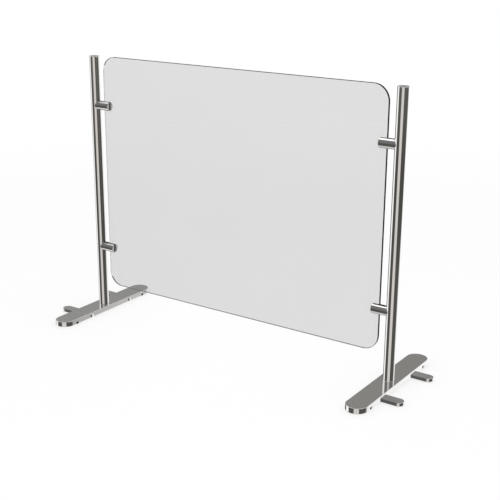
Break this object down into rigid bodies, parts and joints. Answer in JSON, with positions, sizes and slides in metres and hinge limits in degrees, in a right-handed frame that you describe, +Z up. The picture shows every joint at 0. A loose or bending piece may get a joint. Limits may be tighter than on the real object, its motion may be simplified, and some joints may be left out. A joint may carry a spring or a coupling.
{
  "type": "sneeze guard",
  "caption": "Free-standing counter-top sneeze guard: a clear round-cornered panel clamped between two polished round posts on flat base plates with outrigger bars.",
  "frame": {"origin": "on the counter, midway between the two posts", "axes": "+X along the panel, towards the right-hand post as a customer at the front sees it; +Y from the front to the back, where the clamp screws are; +Z up"},
  "size_m": [1.0108, 0.3474, 0.679],
  "materials": {
    "clear_panel": "clear, polished edges",
    "polished_steel": "mirror-polished stainless steel",
    "screw_steel": "plain machined stainless steel",
    "black_rubber": "matt moulded rubber"
  },
  "bodies": {
    "stands": {"left_base_plate": "polished_steel", "left_front_outrigger": "polished_steel", "left_front_outrigger_inner_screw": "screw_steel", "left_front_outrigger_outer_screw": "screw_steel", "left_front_outrigger_pad": "black_rubber", "left_front_foot_strip": "black_rubber", "left_back_outrigger": "polished_steel", "left_back_outrigger_inner_screw": "screw_steel", "left_back_outrigger_outer_screw": "screw_steel", "left_back_outrigger_pad": "black_rubber", "left_back_foot_strip": "black_rubber", "left_post_tube": "polished_steel", "left_post_cap": "polished_steel", "left_post_foot_plug": "screw_steel", "left_post_bolt": "screw_steel", "left_lower_front_jaw": "polished_steel", "left_lower_gasket": "black_rubber", "left_upper_front_jaw": "polished_steel", "left_upper_gasket": "black_rubber", "right_base_plate": "polished_steel", "right_front_outrigger": "polished_steel", "right_front_outrigger_inner_screw": "screw_steel", "right_front_outrigger_outer_screw": "screw_steel", "right_front_outrigger_pad": "black_rubber", "right_front_foot_strip": "black_rubber", "right_back_outrigger": "polished_steel", "right_back_outrigger_inner_screw": "screw_steel", "right_back_outrigger_outer_screw": "screw_steel", "right_back_outrigger_pad": "black_rubber", "right_back_foot_strip": "black_rubber", "right_post_tube": "polished_steel", "right_post_cap": "polished_steel", "right_post_foot_plug": "screw_steel", "right_post_bolt": "screw_steel", "right_lower_front_jaw": "polished_steel", "right_lower_gasket": "black_rubber", "right_upper_front_jaw": "polished_steel", "right_upper_gasket": "black_rubber"},
    "panel": {"panel": "clear_panel"},
    "left_lower_jaw": {"left_lower_rear_jaw": "polished_steel"},
    "left_lower_screw": {"left_lower_clamp_screw": "screw_steel"},
    "left_upper_jaw": {"left_upper_rear_jaw": "polished_steel"},
    "left_upper_screw": {"left_upper_clamp_screw": "screw_steel"},
    "right_lower_jaw": {"right_lower_rear_jaw": "polished_steel"},
    "right_lower_screw": {"right_lower_clamp_screw": "screw_steel"},
    "right_upper_jaw": {"right_upper_rear_jaw": "polished_steel"},
    "right_upper_screw": {"right_upper_clamp_screw": "screw_steel"}
  },
  "joints": [
    {"name": "panel_height", "type": "slide", "parent": "stands", "child": "panel", "axis": [0, 0, 1], "range_m": [-0.074, 0.05]},
    {"name": "left_lower_jaw_open", "type": "slide", "parent": "stands", "child": "left_lower_jaw", "axis": [0, 1, 0], "range_m": [0, 0.002]},
    {"name": "left_lower_screw_turn", "type": "hinge", "parent": "left_lower_jaw", "child": "left_lower_screw", "pos_m": [-0.40865, 0.01, 0.1775], "axis": [0, 1, 0], "range_deg": [0, 900]},
    {"name": "left_upper_jaw_open", "type": "slide", "parent": "stands", "child": "left_upper_jaw", "axis": [0, 1, 0], "range_m": [0, 0.002]},
    {"name": "left_upper_screw_turn", "type": "hinge", "parent": "left_upper_jaw", "child": "left_upper_screw", "pos_m": [-0.40865, 0.01, 0.554], "axis": [0, 1, 0], "range_deg": [0, 900]},
    {"name": "right_lower_jaw_open", "type": "slide", "parent": "stands", "child": "right_lower_jaw", "axis": [0, 1, 0], "range_m": [0, 0.002]},
    {"name": "right_lower_screw_turn", "type": "hinge", "parent": "right_lower_jaw", "child": "right_lower_screw", "pos_m": [0.40865, 0.01, 0.1775], "axis": [0, 1, 0], "range_deg": [0, 900]},
    {"name": "right_upper_jaw_open", "type": "slide", "parent": "stands", "child": "right_upper_jaw", "axis": [0, 1, 0], "range_m": [0, 0.002]},
    {"name": "right_upper_screw_turn", "type": "hinge", "parent": "right_upper_jaw", "child": "right_upper_screw", "pos_m": [0.40865, 0.01, 0.554], "axis": [0, 1, 0], "range_deg": [0, 900]}
  ],
  "couplings": [
    {"joint": "left_lower_screw_turn", "follows": "left_lower_jaw_open", "rad_per_m": 7853.9},
    {"joint": "left_upper_screw_turn", "follows": "left_upper_jaw_open", "rad_per_m": 7853.9},
    {"joint": "right_lower_screw_turn", "follows": "right_lower_jaw_open", "rad_per_m": 7853.9},
    {"joint": "right_upper_screw_turn", "follows": "right_upper_jaw_open", "rad_per_m": 7853.9}
  ]
}
